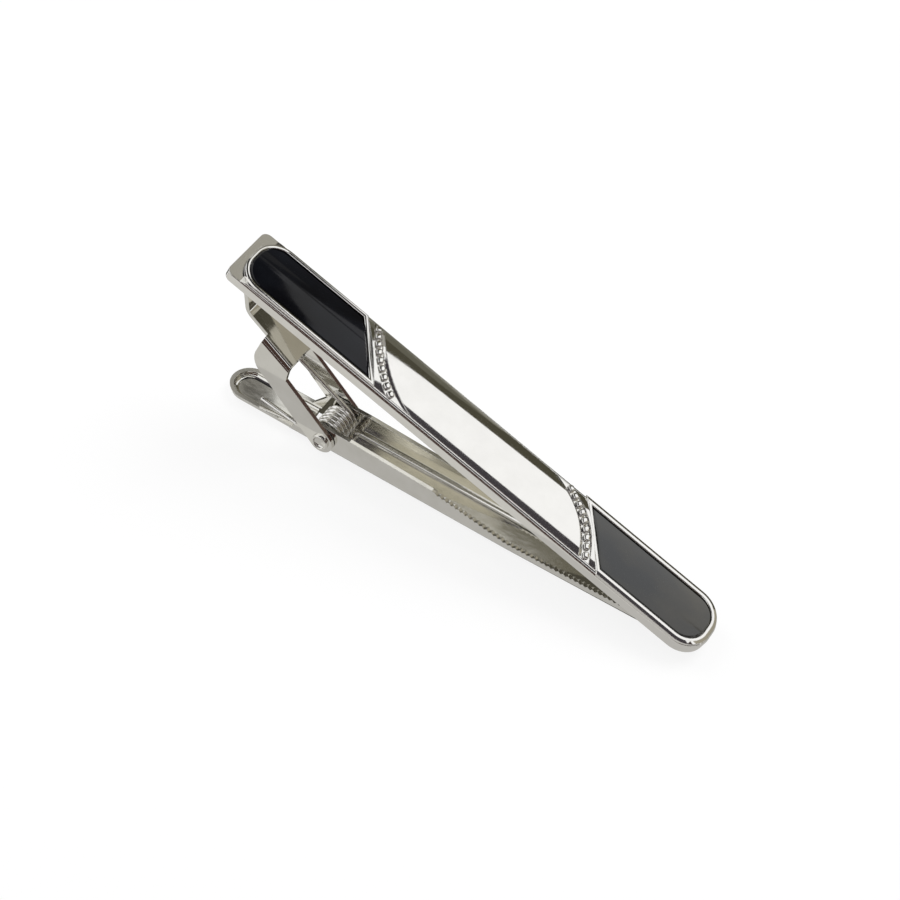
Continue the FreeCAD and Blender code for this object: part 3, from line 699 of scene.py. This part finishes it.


# Every card below is a painted reflection: a glow that only the metal sees, placed where chosen spots
# mirror it. Dark cards paint shade into those spots, such as coil_shade by the coil, rim_shade,
# edge_shade on the legs' edges and pad_shade in the thumb pad. Bright cards paint highlights, such as
# wall_glow, floor_glow, rim_glow, tab_glow and ramp_white.
CARDS = [
    ("zenith_card", (0.055, 0.05, 0.055), level(CEILING, [
        (-300, -235), (-140, -235), (-140, -275), (-122, -275), (-122, -245), (-85, -245),
        (-85, -260), (420, -260), (420, 25), (-300, 25)])),
    ("wall_glow", (0.6, 0.57, 0.46), level(CEILING, oblong(-122, -85, -275, -245))),
    ("far_low_card", (0.07, 0.065, 0.045), upright(FAR, [
        (-60, 0), (215, 0), (215, 205), (135, 165), (85, 210), (55, 280), (59, 377), (64, 451),
        (60, 545), (44, 546), (36, 380), (-60, 380)])),
    ("far_tab_card", (0.30, 0.285, 0.24), upright(FAR, [(-60, 380), (36, 380), (44, 546), (-60, 560)])),
    ("far_high_card", (0.05, 0.05, 0.045), upright(FAR, [
        (-60, 560), (60, 545), (73, 592), (112, 1100), (112, 1600), (-60, 1600)])),
    ("far_tan_card", (0.34, 0.315, 0.25), upright(FAR, [
        (215, 0), (1500, 0), (1500, 1500), (330, 700), (300, 500), (255, 300), (215, 205)])),
    ("left_ceiling", (0.02, 0.02, 0.02), level(CEILING, [
        (-200, 25), (60, 25), (53, 39), (44.5, 92), (38, 129), (31, 195), (24, 215), (-200, 215)])),
    ("far_left_card", (0.34, 0.33, 0.30), upright(FAR, oblong(-1500, -205, 0, 1600))),
    ("far_olive_card", (0.15, 0.14, 0.105), upright(FAR, oblong(-205, -60, 0, 1600))),
    ("far_horizon", (0.24, 0.23, 0.19), upright(NEARER, oblong(-60, 30, 0, 112))),
    ("far_rise", (0.125, 0.12, 0.092), upright(NEARER, oblong(-60, 30, 112, 175))),
    ("coil_shade", (0.03, 0.026, 0.02), upright(NEARER, oblong(-225, -194, 470, 537))),
    ("floor_glow", (1.0, 0.98, 0.88), upright(NEARER, oblong(-194, -176, 470, 537))),
    ("floor_tan", (0.36, 0.345, 0.29), upright(NEARER, oblong(-176, -140, 470, 537))),
    ("rim_glow", (0.95, 0.94, 0.90), upright(NEARER, oblong(-190, -120, 537, 585))),
    ("tab_glow", (0.36, 0.345, 0.30), upright(NEARER, oblong(40, 60, 520, 575))),
    ("rim_shade", (0.33, 0.32, 0.29), upright(NEARER, oblong(60, 96, 500, 529))),
    ("edge_shade", (0.07, 0.042, 0.036), upright(NEARER, oblong(380, 475, 262, 345))),
    ("pad_shade", (0.10, 0.095, 0.085), upright(NEARER, oblong(-256, -240, 522, 538))),
    ("ramp_white", (0.9, 0.9, 0.87), upright(NEARER, oblong(-240, -226, 512, 545))),
    # Painted reflections: a dark and a grey sheet beyond the clip, seen only in reflections, which darken
    # the rims round the enamel fields
    ("right_rim_dark_reflection", (0.05, 0.05, 0.045), level(LOW_CARD_LEVEL, oblong(8, 60, 50, 400))),
    ("left_rim_grey_reflection", (0.30, 0.29, 0.26), level(LOW_CARD_LEVEL, oblong(-90, -14, 50, 300))),
    ("near_card", (0.06, 0.036, 0.03), [
        (-60, -420, 10), (520, -280, 10), (520, -280, 330), (-60, -420, 300)]),
    ("right_card", (0.05, 0.036, 0.034), [
        (520, -280, 10), (620, 120, 10), (620, 120, 560), (520, -280, 560)]),
    # Painted reflections: pale patches over the floor under and beside the clip, seen only in
    # reflections, which light the spots of metal that mirror them
    ("white_patch", (0.62, 0.61, 0.58), level(PATCH, oblong(-24, -15, -5, -3.4))),
    ("tip_patch", (0.5, 0.49, 0.47), level(PATCH, oblong(27, 50, -2, 7))),
    # Painted reflections: a grey and a paler sheet in front of the clip, seen only in reflections, which
    # make the bar's near side walls mirror grey
    ("front_grey_reflection", (0.5, 0.49, 0.47), level(LOW_CARD_LEVEL, oblong(-80, 80, -9, -2))),
    ("outer_pale_reflection", (0.6, 0.59, 0.56), level(LOW_CARD_LEVEL, oblong(-80, 80, -24, -9))),
    # Painted shade: a dark olive sheet under and beyond the clip, seen only in reflections, so the bar's
    # underside mirrors shade instead of the white floor
    ("under_clip_painted_shade", (0.08, 0.075, 0.058), level(LOW_CARD_LEVEL, [
        (-80, 2.6), (-18.5, 2.6), (-18.5, -2), (80, -2), (80, 50), (-80, 50)])),
    ("far_patch", (0.5, 0.48, 0.42), level(PATCH, oblong(-16, -5, 9, 24))),
    # Painted reflection: a dark brown sheet over the near floor, seen only in reflections
    ("near_brown_reflection", (0.06, 0.036, 0.03), level(LOW_CARD_LEVEL, oblong(-60, 500, -430, -24))),
]
floor_outline = oblong(-FLOOR_HALF, FLOOR_HALF, -FLOOR_HALF, FLOOR_HALF)
flat_card("floor", level(FLOOR, floor_outline), floor_material())
for name, colour, corners in CARDS:
    reflected_card(name, colour, corners)


# Light

SKY_DIM = 0.55
SKY_SEEN = 1.0
LIGHT_TARGET = Vector((0, 0, 5))

world = bpy.data.worlds.new("studio")
bpy.context.scene.world = world
nodes, links = empty_nodes(world)
sky_out = nodes.new("ShaderNodeOutputWorld")
sky = nodes.new("ShaderNodeBackground")
sky.inputs["Color"].default_value = (1, 1, 1, 1)
strength = nodes.new("ShaderNodeMapRange")
strength.inputs["To Min"].default_value = SKY_DIM
strength.inputs["To Max"].default_value = SKY_SEEN
links.new(seen_directly(nodes, links), strength.inputs["Value"])
links.new(strength.outputs["Result"], sky.inputs["Strength"])
links.new(sky.outputs["Background"], sky_out.inputs["Surface"])


def softbox(name, place, side, power):
    """A square soft light aimed at the clip."""
    light = bpy.data.lights.new(name, "AREA")
    light.shape = "RECTANGLE"
    light.size = side * MM
    light.size_y = side * MM
    light.energy = power
    lamp = add_object(name, light)
    lamp.location = place * MM
    lamp.visible_glossy = False
    aim = LIGHT_TARGET - place
    lamp.rotation_euler = aim.to_track_quat("-Z", "Y").to_euler()


softbox("key_light", Vector((150, 420, 560)), side=420, power=3.0)
softbox("side_light", Vector((-420, 60, 380)), side=300, power=1.2)


# Camera

VIEW_RIGHT = Vector((0.848, 0.510, 0.143))
VIEW_UP = Vector((-0.471, 0.601, 0.646))
VIEW_NUDGE = VIEW_RIGHT * 0.15 - VIEW_UP * 0.1
VIEW_PLACE = Vector((62.3, -160.7, 203.3)) + VIEW_NUDGE

camera_data = bpy.data.cameras.new("camera")
camera_data.sensor_width = 36.0
camera_data.lens = 104.0
camera_data.clip_start = 0.01
camera_data.clip_end = 20.0
camera = add_object("camera", camera_data)
view_back = VIEW_RIGHT.cross(VIEW_UP).normalized()
view_up = view_back.cross(VIEW_RIGHT).normalized()
turn = Matrix((VIEW_RIGHT.normalized(), view_up, view_back)).transposed().to_4x4()
camera.matrix_world = Matrix.Translation(VIEW_PLACE * MM) @ turn
bpy.context.scene.camera = camera
bpy.context.scene.view_settings.view_transform = "Standard"
